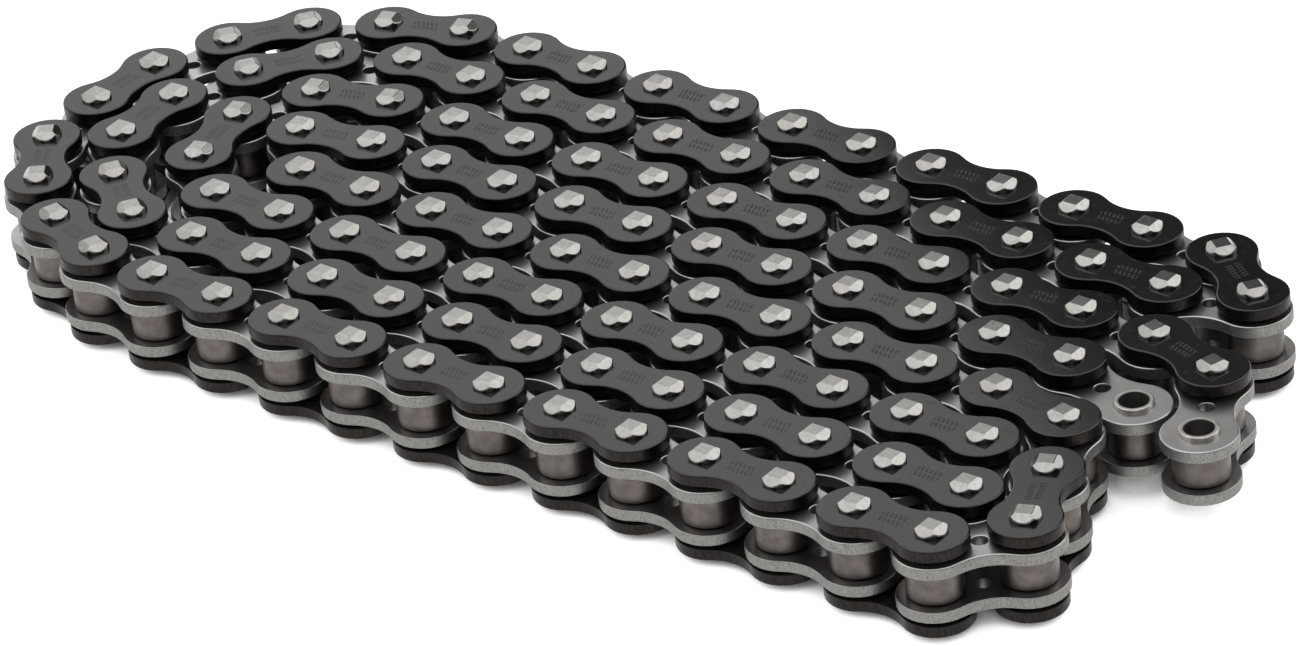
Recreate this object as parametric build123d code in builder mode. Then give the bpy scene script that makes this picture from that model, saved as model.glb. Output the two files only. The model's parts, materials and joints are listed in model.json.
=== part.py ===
"""A 520-size sealed roller chain of 119 links, open at its joining point and laid in a flat coil.

Millimetres, +Z up. The pins stand upright, the lanes of the coil run along X, and the origin is on the
ground under the middle of the coil. The two free ends, where the joining link goes, are at +X.
"""

from math import asin, atan2, cos, degrees, radians, sin, tan
import os

from build123d import *

# The chain's driving sizes
pitch = 15.875
inner_width = 6.35
plate_thickness = 2.2
seal_gap = 0.95
pin_radius = 2.62
pin_head_radius = 2.85
pin_rim_height = 0.35
pin_flat = 2.9
pin_facet_slope = 41
bush_radius = 3.525
bush_proud = 0.85
roller_radius = 5.08
outer_head_radius = 6.5
outer_waist = 4.35
inner_head_radius = 6.9
inner_waist = 4.9
plate_chamfer = 0.3
vent_radius = 1.4

# Running clearances: the pin in its bush, the roller on its bush, and each roller and seal at its sides
pin_clearance = 0.06
roller_clearance = 0.08
side_clearance = 0.1
seal_clearance = 0.03

# The seal ring, an X in section
seal_bore = bush_radius + 0.15
seal_radius = 5.2
seal_waist = 0.16

# Heights, measured from the middle plane of the chain
inner_plate_foot = inner_width / 2
inner_plate_top = inner_plate_foot + plate_thickness
outer_plate_foot = inner_plate_top + seal_gap
outer_plate_top = outer_plate_foot + plate_thickness
bush_end = inner_plate_top + bush_proud
pin_rim = outer_plate_top + pin_rim_height
pin_end = pin_rim + (pin_head_radius - pin_flat / 2) * tan(radians(pin_facet_slope))
bush_bore = pin_radius + pin_clearance
roller_bore = bush_radius + roller_clearance
roller_height = inner_width - 2 * side_clearance

# The coil: eight lanes side by side, lettered from the back
lane_spacing = 0.9 * pitch
lane = {name: (3.5 - row) * lane_spacing for row, name in enumerate("ABCDEFGH")}


def step(pins, bearing):
    """Adds the pin at the far end of one more link, which lies at this bearing."""
    x, y = pins[-1]
    pins.append((x + pitch * cos(radians(bearing)), y + pitch * sin(radians(bearing))))


def run(pins, count, bearing):
    """Adds a straight run of links."""
    for _ in range(count):
        step(pins, bearing)


def turn(pins, bearings, name, heading):
    """Adds a turn: links at these bearings, then one that lands on the named lane, heading 0 or 180."""
    for bearing in bearings:
        step(pins, bearing)
    rise = degrees(asin((lane[name] - pins[-1][1]) / pitch))
    step(pins, rise if heading == 0 else 180 - rise)


def lay_coil():
    """The pin centres in order along the chain, from the loose end to the end inside the coil."""
    pins = [(5 * pitch, lane["C"])]
    run(pins, 10, 180)
    turn(pins, (194, 242, 284), "F", 0)
    run(pins, 10, 0)
    turn(pins, (0,), "G", 0)
    run(pins, 11, 180)
    turn(pins, (176, 145, 127, 93, 67, 52), "B", 0)
    run(pins, 11, 0)
    turn(pins, (18,), "A", 180)
    run(pins, 11, 180)
    turn(pins, (197, 209, 231, 248, 268, 276, 307, 324, 340), "H", 0)
    run(pins, 11, 0)
    turn(pins, (46, 112, 115), "E", 180)
    run(pins, 10, 180)
    turn(pins, (131,), "D", 0)
    run(pins, 10, 0)
    step(pins, -12)
    loose = [pins[0]]
    for bearing in (-2, -17, -65):
        step(loose, bearing)
    return loose[:0:-1] + pins


# Every joint of the chain, moved so that the coil is centred on the origin
joints = lay_coil()
middle_x = (min(x for x, _ in joints) + max(x for x, _ in joints)) / 2
joints = [(x - middle_x, y) for x, y in joints]
joint_count = len(joints)
last_joint = joint_count - 1


def link_place(link):
    """The middle of the link between a joint and the next one, turned along the link."""
    (x1, y1), (x2, y2) = joints[link], joints[link + 1]
    bearing = degrees(atan2(y2 - y1, x2 - x1))
    return Location(((x1 + x2) / 2, (y1 + y2) / 2, pin_end), (0, 0, bearing))


def joint_place(joint):
    """A joint's centre. A pin is turned with its outer link, whose number is odd."""
    x, y = joints[joint]
    outer_link = joint if joint % 2 else joint - 1
    bearing = link_place(outer_link).orientation.Z if 0 < joint < last_joint else 0
    return Location((x, y, pin_end), (0, 0, bearing))


# Which links and joints belong to which pieces
outer_links = range(1, joint_count - 1, 2)
inner_links = range(0, joint_count - 1, 2)
loose_inner_link, loose_outer_link, tucked_inner_link = 0, 1, last_joint - 1
coil_outer_links = [link for link in outer_links if link != loose_outer_link]
coil_inner_links = [link for link in inner_links if link not in (loose_inner_link, tucked_inner_link)]
coil_pin_joints = range(3, last_joint)
coil_bush_joints = range(2, last_joint - 1)
front_roller_joints = range(81, 95)
coil_roller_joints = [joint for joint in coil_bush_joints if joint not in front_roller_joints]


def plate(head, waist, hole, foot, vented):
    """A link plate: two round heads joined by a waist that flows into them. It lies above the middle plane."""
    flank = ((pitch / 2) ** 2 + waist**2 - head**2) / (2 * (head - waist))
    meet = head / (head + flank)
    meet_x = pitch / 2 * (1 - meet)
    meet_y = (waist + flank) * meet
    tip = pitch / 2 + head
    with BuildPart() as blank:
        with BuildSketch(Plane.XY.offset(foot)):
            with BuildLine():
                ThreePointArc((-meet_x, meet_y), (-tip, 0), (-meet_x, -meet_y))
                ThreePointArc((-meet_x, -meet_y), (0, -waist), (meet_x, -meet_y))
                ThreePointArc((meet_x, -meet_y), (tip, 0), (meet_x, meet_y))
                ThreePointArc((meet_x, meet_y), (0, waist), (-meet_x, meet_y))
            make_face()
            with GridLocations(pitch, 0, 2, 1):
                Circle(hole, mode=Mode.SUBTRACT)
            if vented:
                Circle(vent_radius, mode=Mode.SUBTRACT)
        extrude(amount=plate_thickness)
        rim = blank.faces().sort_by(Axis.Z)[-1].outer_wire().edges()
        chamfer(rim, length=plate_chamfer)
    return blank.part


outer_plate = plate(outer_head_radius, outer_waist, pin_radius, outer_plate_foot, vented=False)
inner_plate = plate(inner_head_radius, inner_waist, bush_radius, inner_plate_foot, vented=True)

# A pin: a plain shank with a spread head at each end, struck to a square flat and four facets that fall away
# along and across its link
with BuildPart() as pin:
    Cylinder(pin_radius, outer_plate_top, align=(Align.CENTER, Align.CENTER, Align.MIN))
    with BuildSketch(Plane.XY.offset(outer_plate_top)):
        Circle(pin_head_radius)
    extrude(amount=pin_end - outer_plate_top)
    for bearing in (0, 90, 180, 270):
        slope = Vector(sin(radians(pin_facet_slope)), 0, cos(radians(pin_facet_slope)))
        crest = Vector(pin_flat / 2, 0, pin_end)
        split(
            bisect_by=Plane(
                origin=crest.rotate(Axis.Z, bearing),
                z_dir=-slope.rotate(Axis.Z, bearing),
            )
        )
    mirror(about=Plane.XY)

# A bush: a plain tube pressed into both plates of an inner link
with BuildPart() as bush:
    Cylinder(bush_radius, 2 * bush_end)
    Hole(bush_bore)

# A roller: a short tube with rounded ends that turns on its bush
with BuildPart() as roller:
    Cylinder(roller_radius, roller_height)
    Hole(roller_bore)
    chamfer(roller.edges().filter_by(GeomType.CIRCLE).group_by(SortBy.RADIUS)[-1], length=0.35)

# A seal: a rubber ring, X in section, squeezed between an inner and an outer plate
seal_half_height = seal_gap / 2 - seal_clearance
seal_middle = (seal_bore + seal_radius) / 2
with BuildPart() as seal:
    with BuildSketch(Plane.XZ):
        with BuildLine(Plane.XZ):
            Polyline(
                (seal_bore, -seal_half_height),
                (seal_bore + seal_waist, 0),
                (seal_bore, seal_half_height),
                (seal_middle, seal_half_height - seal_waist),
                (seal_radius, seal_half_height),
                (seal_radius - seal_waist, 0),
                (seal_radius, -seal_half_height),
                (seal_middle, seal_waist - seal_half_height),
                close=True,
            )
        make_face()
    revolve(axis=Axis.Z)
upper_seal = Pos(0, 0, inner_plate_top + seal_gap / 2) * seal.part

os.makedirs("parts", exist_ok=True)


def write(name, piece, places):
    """Writes one node: the piece at each of these places, every copy a separate solid."""
    copies = [piece.moved(place) for place in places]
    node = copies[0] if len(copies) == 1 else Compound(children=copies)
    node.label = name
    export_step(node, f"parts/{name}.step")


def write_pair(name, piece, places):
    """Writes the upper pieces and, mirrored through the middle plane, the lower ones."""
    write(f"{name}_upper", piece, places)
    write(f"{name}_lower", piece.mirror(Plane.XY), places)


# The coil
write_pair("outer_plates", outer_plate, [link_place(link) for link in coil_outer_links])
write_pair("inner_plates", inner_plate, [link_place(link) for link in coil_inner_links])
write_pair("seals", upper_seal, [joint_place(joint) for joint in coil_pin_joints])
write("pins", pin.part, [joint_place(joint) for joint in coil_pin_joints])
write("bushes", bush.part, [joint_place(joint) for joint in coil_bush_joints])
write("rollers", roller.part, [joint_place(joint) for joint in coil_roller_joints])
for number, joint in enumerate(front_roller_joints, start=1):
    write(f"front_roller_{number:02d}", roller.part, [joint_place(joint)])

# The end link tucked inside the coil
write_pair("tucked_end_plate", inner_plate, [link_place(tucked_inner_link)])
write("tucked_end_pinned_bush", bush.part, [joint_place(last_joint - 1)])
write("tucked_end_free_bush", bush.part, [joint_place(last_joint)])
write("tucked_end_pinned_roller", roller.part, [joint_place(last_joint - 1)])
write("tucked_end_free_roller", roller.part, [joint_place(last_joint)])

# The outer link that swings at the loose end
write_pair("loose_link_plate", outer_plate, [link_place(loose_outer_link)])
write_pair("loose_link_seals", upper_seal, [joint_place(1), joint_place(2)])
write("loose_link_coil_pin", pin.part, [joint_place(2)])
write("loose_link_end_pin", pin.part, [joint_place(1)])

# The end link that swings on it
write_pair("loose_end_plate", inner_plate, [link_place(loose_inner_link)])
write("loose_end_pinned_bush", bush.part, [joint_place(1)])
write("loose_end_free_bush", bush.part, [joint_place(0)])
write("loose_end_pinned_roller", roller.part, [joint_place(1)])
write("loose_end_free_roller", roller.part, [joint_place(0)])

for joint in (0, 1, 2, last_joint - 1, last_joint):
    print("joint", joint, [round(value, 3) for value in joint_place(joint).position])
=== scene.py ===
"""A sealed roller chain lying in a flat coil: its pieces, floor, light and camera."""

from math import atan2, cos, pi, radians, sin, tan
import json

import bmesh
import bpy
import numpy as np
from mathutils import Matrix, Vector


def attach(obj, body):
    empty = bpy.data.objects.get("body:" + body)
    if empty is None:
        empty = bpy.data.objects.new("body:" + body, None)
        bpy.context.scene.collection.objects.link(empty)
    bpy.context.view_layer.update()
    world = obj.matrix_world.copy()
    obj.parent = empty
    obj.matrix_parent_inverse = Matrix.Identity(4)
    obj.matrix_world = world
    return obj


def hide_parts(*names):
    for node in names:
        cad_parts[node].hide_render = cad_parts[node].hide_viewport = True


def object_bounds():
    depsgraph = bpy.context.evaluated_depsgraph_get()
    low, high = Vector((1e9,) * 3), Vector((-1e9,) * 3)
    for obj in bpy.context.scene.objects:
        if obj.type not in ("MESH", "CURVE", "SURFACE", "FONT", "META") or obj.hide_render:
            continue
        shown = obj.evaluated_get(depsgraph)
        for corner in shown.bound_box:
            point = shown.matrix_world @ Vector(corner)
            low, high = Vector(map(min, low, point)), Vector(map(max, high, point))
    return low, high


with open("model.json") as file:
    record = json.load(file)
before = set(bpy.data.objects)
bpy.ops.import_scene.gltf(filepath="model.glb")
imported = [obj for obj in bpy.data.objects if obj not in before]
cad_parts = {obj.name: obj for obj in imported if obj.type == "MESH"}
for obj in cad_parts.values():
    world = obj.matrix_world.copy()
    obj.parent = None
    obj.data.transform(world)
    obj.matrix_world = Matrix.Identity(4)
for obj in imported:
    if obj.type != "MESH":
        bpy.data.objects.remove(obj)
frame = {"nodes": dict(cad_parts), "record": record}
cad_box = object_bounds()


# Bushes
# A bush is a short tube of case-hardened steel, ground outside and pressed into two inner plates.
# Its ends stand a little proud of the plates, and show as bright rims at the chain's open ends.

mm = 0.001
pitch = 15.875
bush_radius = 3.525
bush_bore = 2.68
bush_end = 6.225
body_of = {
    node: body for body, nodes in frame["record"]["behaviour"]["bodies"].items() for node in nodes
}


def solids(node):
    """The corners of each separate solid of a node, in metres."""
    work = bmesh.new()
    work.from_mesh(frame["nodes"][node].data)
    bmesh.ops.remove_doubles(work, verts=work.verts, dist=1e-6)
    found, seen = [], set()
    for start in work.verts:
        if start in seen:
            continue
        seen.add(start)
        solid = [start]
        for corner in solid:
            for edge in corner.link_edges:
                other = edge.other_vert(corner)
                if other not in seen:
                    seen.add(other)
                    solid.append(other)
        found.append(np.array([corner.co for corner in solid]))
    work.free()
    return found


def middles(node):
    """Where each round solid of a node has its centre."""
    return [Matrix.Translation((s.min(0) + s.max(0)) / 2) for s in solids(node)]


class Shape:
    """Corners with their normals, and faces, in millimetres round a piece's own centre."""

    def __init__(self):
        self.corners, self.normals, self.faces = [], [], []

    def ring(self, points):
        """Adds corners, each a place and a normal, and gives back their numbers."""
        first = len(self.corners)
        for place, normal in points:
            self.corners.append(place)
            self.normals.append(normal)
        return list(range(first, len(self.corners)))

    def skin(self, rings):
        """Joins each ring to the next, which lies outside or below it. Rings run anticlockwise."""
        for upper, lower in zip(rings, rings[1:]):
            for i in range(len(upper)):
                j = (i + 1) % len(upper)
                self.faces.append((upper[i], lower[i], lower[j], upper[j]))


def rounded(outline, steps=3):
    """Rounds the corners of a closed outline, anticlockwise, each given as x, y and its radius.

    Gives back points: x, y and the two parts of the normal there.
    """
    points = []
    for (x0, y0, _), (x, y, radius), (x1, y1, _) in zip(
        outline[-1:] + outline[:-1], outline, outline[1:] + outline[:1]
    ):
        bearing = atan2(y - y0, x - x0)
        turn = (atan2(y1 - y, x1 - x) - bearing + pi) % (2 * pi) - pi
        bend = 1 if turn > 0 else -1
        run_in = radius * tan(abs(turn) / 2)
        middle_x = x - run_in * cos(bearing) - bend * radius * sin(bearing)
        middle_y = y - run_in * sin(bearing) + bend * radius * cos(bearing)
        for step in range(steps + 1):
            facing = bearing - pi / 2 + turn * step / steps
            nx, ny = cos(facing), sin(facing)
            points.append((middle_x + bend * radius * nx, middle_y + bend * radius * ny, nx, ny))
    return points


def turned(outline, sides, steps=3):
    """A round piece: its half section, in radius and height, swept round the Z axis."""
    shape = Shape()
    rings = []
    for radius, height, out, up in reversed(rounded(outline, steps)):
        bearings = [2 * pi * side / sides for side in range(sides)]
        rings.append(
            shape.ring(
                ((radius * cos(b), radius * sin(b), height), (out * cos(b), out * sin(b), up))
                for b in bearings
            )
        )
    shape.skin(rings + rings[:1])
    return shape


dice = np.random.default_rng(520)


def stamp(name, node, shape, places, finish):
    """Makes the piece that stands for a node, with a copy of the shape at each place.

    Each copy keeps its own coordinates, in millimetres, in "own", and a shade of its own in "lot".
    """
    corners = np.array(shape.corners)
    normals = np.array(shape.normals)
    count = len(corners)
    spots, facings, faces = [], [], []
    for number, place in enumerate(places):
        turn = np.array(place.to_3x3())
        spots.append(corners * mm @ turn.T + np.array(place.translation))
        facings.append(normals @ turn.T)
        faces += [tuple(corner + number * count for corner in face) for face in shape.faces]
    mesh = bpy.data.meshes.new(name)
    mesh.from_pydata(np.concatenate(spots), [], faces)
    mesh.shade_smooth()
    mesh.normals_split_custom_set_from_vertices(np.concatenate(facings))
    own = mesh.attributes.new("own", "FLOAT_VECTOR", "POINT")
    own.data.foreach_set("vector", np.tile(corners, (len(places), 1)).astype(np.float32).ravel())
    lot = mesh.attributes.new("lot", "FLOAT", "POINT")
    lot.data.foreach_set("value", np.repeat(dice.random(len(places)), count).astype(np.float32))
    mesh.materials.append(finish)
    piece = bpy.data.objects.new(name, mesh)
    bpy.context.scene.collection.objects.link(piece)
    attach(piece, body_of[node])
    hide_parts(node)
    return piece


furthest_drift = 90


class Value:
    """A node's output. Arithmetic on it adds Math nodes."""

    def __init__(self, finish, socket):
        self.finish, self.socket = finish, socket

    def math(self, operation, *values):
        return self.finish.node("ShaderNodeMath", {"operation": operation}, dict(enumerate(values)))

    def __add__(self, other):
        return self.math("ADD", self, other)

    __radd__ = __add__

    def __sub__(self, other):
        return self.math("SUBTRACT", self, other)

    def __rsub__(self, other):
        return self.math("SUBTRACT", other, self)

    def __mul__(self, other):
        return self.math("MULTIPLY", self, other)

    __rmul__ = __mul__

    def __truediv__(self, other):
        return self.math("DIVIDE", self, other)

    def __abs__(self):
        return self.math("ABSOLUTE", self)

    def root(self):
        return self.math("SQRT", self)

    def ease(self, low, high):
        """0 below low, 1 above high and a smooth rise between, or a fall if low is above high."""
        settings = {"interpolation_type": "SMOOTHSTEP"}
        return self.finish.node("ShaderNodeMapRange", settings, {0: self, 1: low, 2: high})


class Finish:
    """A material, built from nodes round its shader."""

    def __init__(self, name, **constants):
        self.material = bpy.data.materials.new(name)
        self.material.use_nodes = True
        self.tree = self.material.node_tree
        self.shader = self.tree.nodes["Principled BSDF"]
        for socket, value in constants.items():
            self.shader.inputs[socket.replace("_", " ")].default_value = value

    def node(self, kind, settings, inputs, output=0):
        made = self.tree.nodes.new(kind)
        for key, value in settings.items():
            setattr(made, key, value)
        self.feed(made, inputs)
        return Value(self, made.outputs[output])

    def feed(self, made, inputs):
        for socket, value in inputs.items():
            if isinstance(value, Value):
                self.tree.links.new(value.socket, made.inputs[socket])
            else:
                made.inputs[socket].default_value = value

    def own(self):
        """The place on a piece, in millimetres from its own centre."""
        return self.node("ShaderNodeAttribute", {"attribute_name": "own"}, {}, "Vector")

    def lot(self):
        """A number from 0 to 1 that each copy of a piece has to itself."""
        return self.node("ShaderNodeAttribute", {"attribute_name": "lot"}, {}, "Fac")

    def apart(self, vector):
        """The three parts of a vector."""
        made = self.node("ShaderNodeSeparateXYZ", {}, {0: vector})
        return [Value(self, output) for output in made.socket.node.outputs]

    def noise(self, place, scale, detail=3.0, stretch=(1, 1, 1)):
        """Noise from 0 to 1, with this many grains to a millimetre and drawn out by the stretch."""
        squeeze = [1 / part for part in stretch]
        drawn = self.node("ShaderNodeVectorMath", {"operation": "MULTIPLY"}, {0: place, 1: squeeze})
        inputs = {"Vector": drawn, "Scale": scale, "Detail": detail}
        return self.node("ShaderNodeTexNoise", {}, inputs)

    def drifted(self, place):
        """The place, moved by the copy's own number, so that no two copies have the same marks."""
        shift = self.lot() * furthest_drift
        aside = self.node("ShaderNodeCombineXYZ", {}, {0: shift, 1: shift, 2: shift})
        return self.node("ShaderNodeVectorMath", {"operation": "ADD"}, {0: place, 1: aside})

    def mix(self, share, first, second):
        """The first colour where the share is 0 and the second where it is 1."""
        settings = {"data_type": "RGBA"}
        return self.node("ShaderNodeMix", settings, {0: share, 6: first, 7: second}, 2)

    def bump(self, height, distance):
        """A normal for marks this deep, in millimetres."""
        return self.node("ShaderNodeBump", {}, {"Distance": distance * mm, "Height": height})

    def done(self, **inputs):
        """Feeds the shader and gives back the material."""
        self.feed(self.shader, {name.replace("_", " "): value for name, value in inputs.items()})
        return self.material


def ground_steel():
    finish = Finish("ground_bush_steel", Metallic=1.0)
    own = finish.own()
    x, y, _ = finish.apart(own)
    turning = finish.noise(finish.drifted(own), 3.0, 4.0, (8, 8, 0.35))
    stain = finish.noise(finish.drifted(own), 0.5)
    radius = (x * x + y * y).root()
    # The bore is painted darker, nearly black: painted shade inside the tube, where little light
    # reaches.
    inside = radius.ease(bush_bore + 0.25, bush_bore + 0.05)
    colour = finish.mix(stain.ease(0.35, 0.75), (0.62, 0.6, 0.57, 1), (0.5, 0.47, 0.43, 1))
    return finish.done(
        Base_Color=finish.mix(inside * 0.8, colour, (0.12, 0.11, 0.1, 1)),
        Roughness=0.24 + 0.14 * turning + 0.2 * inside,
        Normal=finish.bump(turning, 0.02),
    )


bush_shape = turned(
    [
        (bush_bore, -bush_end, 0.2),
        (bush_radius, -bush_end, 0.22),
        (bush_radius, bush_end, 0.22),
        (bush_bore, bush_end, 0.2),
    ],
    sides=32,
)
bush_steel = ground_steel()
for node in (
    "bushes",
    "tucked_end_pinned_bush",
    "tucked_end_free_bush",
    "loose_end_pinned_bush",
    "loose_end_free_bush",
):
    stamp(f"ground_{node}", node, bush_shape, middles(node), bush_steel)


# Rollers
# A roller is a seamless hardened steel sleeve with rounded edges that turns on its bush between the
# inner plates. Barrel finishing and oil leave it a warm, burnished grey with faint turning lines.

roller_radius = 5.08
roller_bore = 3.605
roller_half = 3.075


def burnished_steel():
    finish = Finish("burnished_roller_steel", Metallic=1.0)
    own = finish.own()
    z = finish.apart(own)[2]
    drifted = finish.drifted(own)
    turning = finish.noise(drifted, 2.2, 4.0, (9, 9, 0.3))
    stain = finish.noise(drifted, 0.45, 4.0)
    speck = finish.noise(drifted, 3.5, 2.0).ease(0.66, 0.76)
    # The roller is painted darker towards both ends, next to the inner plates: painted shade
    # between the parts.
    edge = abs(z).ease(roller_half - 1.1, roller_half - 0.1)
    warm = finish.mix(stain.ease(0.3, 0.7), (0.155, 0.136, 0.127, 1), (0.11, 0.096, 0.089, 1))
    shaded_ends = finish.mix(edge * 0.6, warm, (0.07, 0.062, 0.057, 1))
    return finish.done(
        Base_Color=finish.mix(speck * 0.5, shaded_ends, (0.06, 0.05, 0.045, 1)),
        Roughness=0.26 + 0.16 * turning + 0.1 * stain,
        Normal=finish.bump(turning + 0.5 * speck, 0.012),
    )


roller_shape = turned(
    [
        (roller_bore, -roller_half, 0.2),
        (roller_radius, -roller_half, 0.45),
        (roller_radius, roller_half, 0.45),
        (roller_bore, roller_half, 0.2),
    ],
    sides=44,
)
roller_steel = burnished_steel()
for node in [node for node in body_of if "roller" in node]:
    stamp(f"turned_{node}", node, roller_shape, middles(node), roller_steel)


# Inner link plates
# An inner plate is blanked from strip steel in one stroke, so its outer rim is rolled over and its
# edge keeps the upright marks of the shear. Two bushes are pressed into it, and the hole in its
# waist saves weight.

inner_head = 6.9
inner_waist = 4.9
inner_foot = 3.175
plate_thickness = 2.2
vent_radius = 1.4
rolled_rim = 0.32
sharp_rim = 0.12


def plate_edge(head, waist):
    """A link plate's edge, anticlockwise: places and outward normals."""
    flank = ((pitch / 2) ** 2 + waist**2 - head**2) / (2 * (head - waist))
    lean = atan2(waist + flank, pitch / 2)
    around = pi - lean
    head_steps, waist_steps = 22, 8
    points = []
    for side in (1, -1):
        for step in range(head_steps):
            facing = around * (2 * step / head_steps - 1)
            out_x, out_y = side * cos(facing), side * sin(facing)
            points.append(((side * pitch / 2 + head * out_x, head * out_y), (out_x, out_y)))
        for step in range(waist_steps):
            facing = -lean - (pi - 2 * lean) * step / waist_steps
            out_x, out_y = side * cos(facing), side * sin(facing)
            points.append(
                ((flank * out_x, side * (waist + flank) + flank * out_y), (-out_x, -out_y))
            )
    return points


def hole_edge(x, radius, steps):
    """A hole's edge, clockwise, with normals that point into the hole."""
    bearings = [-2 * pi * step / steps for step in range(steps)]
    return [((x + radius * cos(b), radius * sin(b)), (-cos(b), -sin(b))) for b in bearings]


def rim(height, radius, steps, upward=True):
    """A rounded rim: how far in from the edge, how high, and the tilt of its normal."""
    tilts = [pi / 2 * (1 - step / steps) for step in range(steps + 1)]
    rows = [(radius * (1 - cos(tilt)), height - radius * (1 - sin(tilt)), tilt) for tilt in tilts]
    return rows if upward else [(i, 2 * height - h, -t) for i, h, t in reversed(rows)]


def plate_shape(edges, foot):
    """A plate above the middle plane. Each edge is its points and its rim rows, top to foot."""
    shape = Shape()
    top_rings, foot_rings = [], []
    for points, rows in edges:
        rings = [
            shape.ring(
                (
                    (x - out_x * inset, y - out_y * inset, foot + height),
                    (out_x * cos(tilt), out_y * cos(tilt), sin(tilt)),
                )
                for (x, y), (out_x, out_y) in points
            )
            for inset, height, tilt in rows
        ]
        shape.skin(rings)
        top_rings.append(rings[0])
        foot_rings.append(rings[-1])
    work = bmesh.new()
    below = {}
    number_of = {}
    for top_ring, foot_ring in zip(top_rings, foot_rings):
        corners = [work.verts.new((*shape.corners[number][:2], 0)) for number in top_ring]
        for i, corner in enumerate(corners):
            number_of[corner] = top_ring[i]
            below[top_ring[i]] = foot_ring[i]
            work.edges.new((corners[i - 1], corner))
    bmesh.ops.triangle_fill(work, edges=work.edges, use_beauty=True, normal=(0, 0, 1))
    for face in work.faces:
        around = [number_of[corner] for corner in face.verts]
        if face.normal.z < 0:
            around.reverse()
        shape.faces.append(tuple(around))
        shape.faces.append(tuple(below[number] for number in reversed(around)))
    work.free()
    return shape


round_hole = 3.7


def link_places(node):
    """The middle of each plate's link, on the chain's middle plane, turned along the link.

    A plate's two ends are the middles of the corners that lie round its holes.
    """
    middle_height = (cad_box[0].z + cad_box[1].z) / 2
    places = []
    for solid in solids(node):
        flat = solid[:, :2]
        flat = flat - (flat.min(0) + flat.max(0)) / 2
        along = np.linalg.eigh(flat.T @ flat)[1][:, 1]
        ends = []
        for side in (-1, 1):
            from_hole = np.hypot(*(flat - side * along * pitch / 2 * mm).T)
            ends.append(solid[from_hole < round_hole * mm, :2].mean(0))
        middle = (ends[0] + ends[1]) / 2
        across = ends[1] - ends[0]
        facing = Matrix.Rotation(atan2(across[1], across[0]), 4, "Z")
        places.append(Matrix.Translation((*middle, middle_height)) @ facing)
    return places


def lay_plates(group, shape, places, finish):
    """Makes the upper plates of a group and, turned over, the lower ones."""
    for side, over in (("upper", Matrix()), ("lower", Matrix.Rotation(pi, 4, "X"))):
        node = f"{group}_{side}"
        stamp(f"blanked_{node}", node, shape, [place @ over for place in places], finish)


def sheared_marks(finish, drifted):
    """The marks a shear leaves on a plate edge: upright scores and the torn specks between."""
    scores = finish.noise(drifted, 2.4, 3.0, (0.5, 0.5, 3))
    torn = finish.noise(drifted, 3.4, 3.0, (0.8, 0.8, 1.2))
    return scores, torn


def on_edge(finish):
    """1 on the upright edge of a plate and 0 on its faces."""
    normal = finish.node("ShaderNodeNewGeometry", {}, {}, "Normal")
    return abs(finish.apart(normal)[2]).ease(0.75, 0.3)


def bare_steel():
    finish = Finish("bare_inner_plate_steel", Metallic=1.0)
    drifted = finish.drifted(finish.own())
    scores, torn = sheared_marks(finish, drifted)
    edge = on_edge(finish)
    grain = finish.noise(drifted, 4.5, 3.0)
    cloud = finish.noise(drifted, 0.22, 3.0)
    face = finish.mix(cloud.ease(0.3, 0.7), (0.53, 0.522, 0.51, 1), (0.45, 0.442, 0.43, 1))
    face = finish.mix(finish.lot() * 0.3, face, (0.35, 0.34, 0.325, 1))
    cut = finish.mix(scores.ease(0.35, 0.65), (0.285, 0.278, 0.264, 1), (0.23, 0.223, 0.211, 1))
    cut = finish.mix(torn.ease(0.56, 0.68) * 0.8, cut, (0.09, 0.08, 0.072, 1))
    return finish.done(
        Base_Color=finish.mix(edge, face, cut),
        Roughness=0.27 + 0.08 * grain + edge * (0.12 + 0.15 * torn),
        Normal=finish.bump(0.2 * grain + edge * (0.3 * scores + 0.6 * torn), 0.04),
    )


outer_rows = rim(plate_thickness, rolled_rim, 3) + rim(0, sharp_rim, 2, upward=False)
hole_rows = rim(plate_thickness, sharp_rim, 2) + rim(0, sharp_rim, 2, upward=False)
inner_plate_shape = plate_shape(
    [
        (plate_edge(inner_head, inner_waist), outer_rows),
        (hole_edge(-pitch / 2, bush_radius, 24), hole_rows),
        (hole_edge(pitch / 2, bush_radius, 24), hole_rows),
        (hole_edge(0, vent_radius, 20), rim(plate_thickness, 0.25, 2) + hole_rows[3:]),
    ],
    inner_foot,
)
inner_plate_steel = bare_steel()
for group in ("inner_plates", "tucked_end_plate", "loose_end_plate"):
    places = link_places(f"{group}_upper")
    lay_plates(group, inner_plate_shape, places, inner_plate_steel)


# Seals
# A ring of black nitrile rubber, X in section, is squeezed between each inner and outer plate.
# Its four lips keep the grease in round the pin. Only its outer lips show, in the narrow gap.

seal_bore = 3.675
seal_radius = 5.2
seal_half = 0.445
seal_waist = 0.16


def nitrile():
    finish = Finish("black_nitrile", Specular_IOR_Level=0.4)
    drifted = finish.drifted(finish.own())
    bloom = finish.noise(drifted, 1.2, 3.0)
    rubber = finish.mix(bloom.ease(0.4, 0.8), (0.008, 0.008, 0.009, 1), (0.02, 0.02, 0.021, 1))
    return finish.done(
        Base_Color=rubber,
        Roughness=0.42 + 0.2 * bloom,
        Normal=finish.bump(bloom, 0.02),
    )


seal_middle = (seal_bore + seal_radius) / 2
seal_shape = turned(
    [
        (seal_bore, -seal_half, 0.1),
        (seal_middle, seal_waist - seal_half, 0.3),
        (seal_radius, -seal_half, 0.1),
        (seal_radius - seal_waist, 0, 0.15),
        (seal_radius, seal_half, 0.1),
        (seal_middle, seal_half - seal_waist, 0.3),
        (seal_bore, seal_half, 0.1),
        (seal_bore + seal_waist, 0, 0.15),
    ],
    sides=28,
    steps=1,
)
seal_rubber = nitrile()
for node in ("seals_upper", "seals_lower", "loose_link_seals_upper", "loose_link_seals_lower"):
    stamp(f"moulded_{node}", node, seal_shape, middles(node), seal_rubber)


# Outer link plates
# An outer plate is blanked as an inner one is, tumbled, and heat-treated to a satin black. A ring
# is coined round each pin hole, and the pins are pressed in and riveted over.

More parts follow.
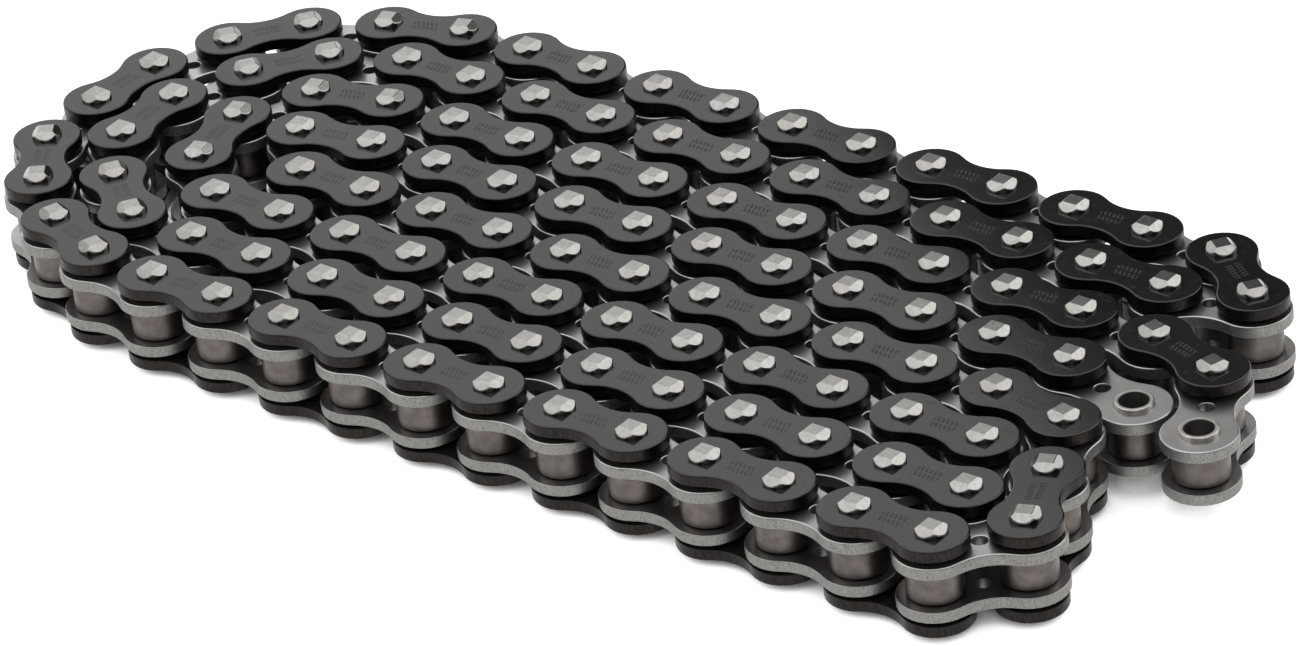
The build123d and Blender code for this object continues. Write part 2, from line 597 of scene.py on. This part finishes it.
outer_head = 6.5
outer_waist = 4.35
outer_foot = 6.325
pin_radius = 2.62
coined_radius = 3.75
coined_depth = 0.09


def stamped_strokes(own):
    """Two rows of plain slanted strokes struck into the waist: 1 inside a stroke."""
    x, y, _ = own.finish.apart(own)
    row_middle, stroke_spacing, slant = 0.85, 0.9, 0.35
    across = abs(abs(y) - row_middle).ease(0.62, 0.52)
    along = (x + slant * y) / stroke_spacing
    stroke = abs(along.math("FRACT", along) - 0.5).ease(0.27, 0.2)
    return stroke * across * abs(x).ease(2.6, 2.5)


def blackened_steel():
    finish = Finish("blackened_outer_plate_steel", IOR=1.5)
    drifted = finish.drifted(finish.own())
    scores, torn = sheared_marks(finish, drifted)
    edge = on_edge(finish)
    grain = finish.noise(drifted, 3.5, 3.0)
    cloud = finish.noise(drifted, 0.3, 3.0)
    scratch = finish.noise(drifted, 1.4, 2.0, (3.5, 0.3, 1)).ease(0.68, 0.76)
    face = finish.mix(
        cloud.ease(0.3, 0.7), (0.0055, 0.0058, 0.0062, 1), (0.009, 0.0092, 0.0097, 1)
    )
    face = finish.mix(finish.lot() * 0.6, face, (0.02, 0.0195, 0.019, 1))
    cut = finish.mix(scores.ease(0.4, 0.65), (0.02, 0.0182, 0.0176, 1), (0.036, 0.031, 0.028, 1))
    marks = stamped_strokes(finish.own()) * (1 - edge)
    return finish.done(
        Base_Color=finish.mix(edge, face, cut),
        Metallic=edge,
        Roughness=0.085 + 0.04 * grain + 0.07 * scratch + 0.2 * marks + edge * (0.22 + 0.14 * torn),
        Normal=finish.bump(0.1 * grain + 0.3 * scratch - 2 * marks + edge * (scores + torn), 0.02),
    )


coined_edge = pin_radius - coined_radius
coined_floor = plate_thickness - coined_depth
coined_rows = [
    (coined_edge, plate_thickness, pi / 2),
    (coined_edge + 0.08, plate_thickness - 0.02, radians(55)),
    (coined_edge + 0.16, coined_floor, radians(75)),
    (-0.35, coined_floor, pi / 2),
    (-0.1, coined_floor - 0.02, radians(60)),
    (0, coined_floor - 0.12, 0),
]
outer_hole_rows = coined_rows + rim(0, sharp_rim, 2, upward=False)
outer_plate_shape = plate_shape(
    [
        (plate_edge(outer_head, outer_waist), outer_rows),
        (hole_edge(-pitch / 2, pin_radius, 28), outer_hole_rows),
        (hole_edge(pitch / 2, pin_radius, 28), outer_hole_rows),
    ],
    outer_foot,
)
outer_plate_steel = blackened_steel()
pin_places = []
for group in ("outer_plates", "loose_link_plate"):
    places = link_places(f"{group}_upper")
    for place in places:
        for side in (-1, 1):
            pin_places.append(place @ Matrix.Translation((side * pitch / 2 * mm, 0, 0)))
    lay_plates(group, outer_plate_shape, places, outer_plate_steel)


# Pins
# A pin is turned from alloy steel, hardened, and pressed through two outer plates. Riveting spreads
# both of its heads and strikes them to a bright square flat with four facets that fall from it.

pin_head_radius = 2.85
pin_flat = 2.9
pin_facet = radians(41)
pin_base = outer_foot + coined_floor
pin_end = (cad_box[1].z - cad_box[0].z) / 2 / mm


def riveted_pin():
    """Both heads and the shank, in rings from the top down."""
    shape = Shape()
    crease = 2
    steps = [radians(step) for step in (crease - 45, -30, -15, 0, 15, 30, 45 - crease)]
    facets = [(quarter * pi / 2, step) for quarter in range(4) for step in steps]
    half = pin_flat / 2
    rim_round = 0.16

    def head_ring(side, radius_of, drop, lift):
        """A ring of the head. Its normal is upright at lift 1, a facet's own at 0, out at -1."""
        points = []
        for facet, step in facets:
            bearing = facet + step
            radius = radius_of(step)
            height = pin_end - max(0, radius * cos(step) - half) * tan(pin_facet) - drop
            slope = sin(pin_facet)
            lean = Vector((cos(facet) * slope, sin(facet) * slope, cos(pin_facet)))
            if lift >= 0:
                normal = lean.lerp(Vector((0, 0, 1)), lift)
            else:
                normal = lean.lerp(Vector((cos(bearing), sin(bearing), 0)), -lift)
            normal.normalize()
            points.append(
                (
                    (radius * cos(bearing), radius * sin(bearing), side * height),
                    (normal.x, normal.y, side * normal.z),
                )
            )
        return points

    def level_ring(radius, height, out):
        return [
            (
                (radius * cos(facet + step), radius * sin(facet + step), height),
                (out * cos(facet + step), out * sin(facet + step), 0 if out else -1),
            )
            for facet, step in facets
        ]

    rows = []
    for side in (1, -1):
        head = [
            head_ring(side, lambda step: 0.5 * half / cos(step), 0, 1),
            head_ring(side, lambda step: 0.95 * half / cos(step), 0, 1),
            head_ring(side, lambda step: 1.06 * half / cos(step), 0, 0),
            head_ring(side, lambda step: pin_head_radius - rim_round, 0, 0),
            head_ring(side, lambda step: pin_head_radius - 0.3 * rim_round, 0.3 * rim_round, -0.5),
            head_ring(side, lambda step: pin_head_radius, rim_round, -1),
        ]
        head.append(level_ring(pin_head_radius, side * pin_base, 1))
        rows.append(head)
    shank = [level_ring(pin_radius, side * (pin_base - 0.02), 1) for side in (1, -1)]
    rings = [shape.ring(row) for row in rows[0] + shank + rows[1][::-1]]
    shape.skin(rings)
    for side, ring in ((1, rings[0]), (-1, rings[-1])):
        middle = shape.ring([((0, 0, side * pin_end), (0, 0, side))])[0]
        for i in range(len(ring)):
            pair = (ring[i - 1], ring[i]) if side > 0 else (ring[i], ring[i - 1])
            shape.faces.append((middle, *pair))
    return shape


def struck_steel():
    finish = Finish("struck_pin_steel", Metallic=1.0)
    own = finish.own()
    drifted = finish.drifted(own)
    smear = finish.noise(drifted, 1.1, 3.0)
    drag = finish.noise(drifted, 2.6, 3.0, (0.5, 2.5, 2.5))
    height = abs(finish.apart(own)[2])
    # The foot of each head, where it meets the plate, is painted nearly black: painted shade under
    # the head's rim.
    low = height.ease(pin_base + 0.45, pin_base)
    bright = finish.mix(smear.ease(0.3, 0.75), (0.41, 0.402, 0.386, 1), (0.34, 0.332, 0.318, 1))
    bright = finish.mix(finish.lot() * 0.25, bright, (0.33, 0.305, 0.28, 1))
    return finish.done(
        Base_Color=finish.mix(low * 0.85, bright, (0.06, 0.058, 0.056, 1)),
        Roughness=0.16 + 0.03 * smear + 0.02 * drag,
        Normal=finish.bump(smear + 0.3 * drag, 0.004),
    )


pin_shape = riveted_pin()
pin_steel = struck_steel()
for node in ("pins", "loose_link_coil_pin", "loose_link_end_pin"):
    laid = []
    for middle in middles(node):
        spot = middle.translation
        laid.append(min(pin_places, key=lambda place: (place.translation - spot).length))
    stamp(f"riveted_{node}", node, pin_shape, laid, pin_steel)


# Floor and light
# A white table that glows a little, as a light table does, with a wide soft box overhead. A card on
# each side and one in front light the facets and edges, and the plates mirror one behind.

camera_azimuth = radians(41.5)
camera_elevation = radians(30.37)

away = Vector((-sin(camera_azimuth), cos(camera_azimuth), 0))
rightward = Vector((cos(camera_azimuth), sin(camera_azimuth), 0))
up = Vector((0, 0, 1))


def sheet(name, corners, finish):
    """A flat sheet, which isn't part of the chain."""
    mesh = bpy.data.meshes.new(name)
    mesh.from_pydata(corners, [], [range(len(corners))])
    mesh.materials.append(finish.material)
    made = bpy.data.objects.new(name, mesh)
    bpy.context.scene.collection.objects.link(made)
    return made


def soft_light(name, glow, middle, along, over):
    """A shining rectangle round its middle: along and over are half its sides. It isn't seen."""
    shining = Finish(name, Emission_Strength=glow)
    shining.done(Base_Color=(0, 0, 0, 1), Emission_Color=(1, 1, 1, 1))
    corners = [middle + a * along + b * over for a, b in ((-1, -1), (1, -1), (1, 1), (-1, 1))]
    made = sheet(name, corners, shining)
    made.visible_camera = False
    return made


table_half = 6
table = Finish("white_table", Roughness=0.9, Emission_Strength=0.85)
fibre = table.noise(table.node("ShaderNodeTexCoord", {}, {}, "Object"), 900.0, 2.0)
# The table's glow fades by ambient occlusion under and close round the chain: a painted shadow on
# the table.
shadow_under_chain = table.node("ShaderNodeAmbientOcclusion", {"samples": 12}, {"Distance": 0.02}, "AO")
table.done(
    Base_Color=table.mix(fibre, (0.5, 0.5, 0.5, 1), (0.54, 0.54, 0.54, 1)),
    Emission_Color=table.mix(shadow_under_chain.ease(0.05, 0.3), (0, 0, 0, 1), (1, 1, 1, 1)),
)
table_signs = ((-1, -1), (1, -1), (1, 1), (-1, 1))
sheet("floor", [(a * table_half, b * table_half, 0) for a, b in table_signs], table)

soft_light("soft_box", 1.4, up * 1.1, rightward * 1.2, away * 0.9)
soft_light("left_card", 1.0, up * 0.85 - rightward * 1.25, away * 0.85, up * 0.6)
soft_light("right_card", 1.7, up * 0.85 + rightward * 1.25 + away * 0.35, away * 0.6, up * 0.6)
soft_light("front_card", 0.4, -away * 1.8 + up * 0.9, rightward * 0.8, up * 0.6)
mirrored_distance = 1.3
mirrored_corners = ((-1.4, 0.2), (-0.16, 0.2), (0.49, 1.5), (-1.4, 1.5))
mirrored = soft_light("mirrored_card", 1.1, away * mirrored_distance, rightward, up)
for corner, (aside, height) in zip(mirrored.data.vertices, mirrored_corners):
    corner.co = away * mirrored_distance + rightward * aside + up * height


class Room(Finish):
    """The room round the table, built from nodes as a finish is."""

    def __init__(self, name):
        self.material = bpy.data.worlds.new(name)
        self.material.use_nodes = True
        self.tree = self.material.node_tree
        self.shader = self.tree.nodes["Background"]


room = Room("dark_room")
looked_at = room.node("ShaderNodeLightPath", {}, {}, "Is Camera Ray")
bpy.context.scene.world = room.done(
    Color=room.mix(looked_at, (0.03, 0.03, 0.031, 1), (1, 1, 1, 1))
)
bpy.context.scene.view_settings.view_transform = "Standard"


# Camera
# A long lens about 1.15 m away, which looks down on the chain across its near corner. It is held
# a little off level, and turned a little to the right so that the whole chain is in view.

camera_roll = radians(-6.34)
camera_turn = radians(-0.094)
camera_place = Vector((0.6576, -0.7401, 0.5815))
lens = bpy.data.cameras.new("camera")
lens.lens = 175.25
lens.sensor_width = 36
lens.clip_start = 0.01
camera = bpy.data.objects.new("camera", lens)
bpy.context.scene.collection.objects.link(camera)
camera.matrix_world = (
    Matrix.Translation(camera_place)
    @ Matrix.Rotation(camera_azimuth + camera_turn, 4, "Z")
    @ Matrix.Rotation(pi / 2 - camera_elevation, 4, "X")
    @ Matrix.Rotation(camera_roll, 4, "Z")
)
bpy.context.scene.camera = camera
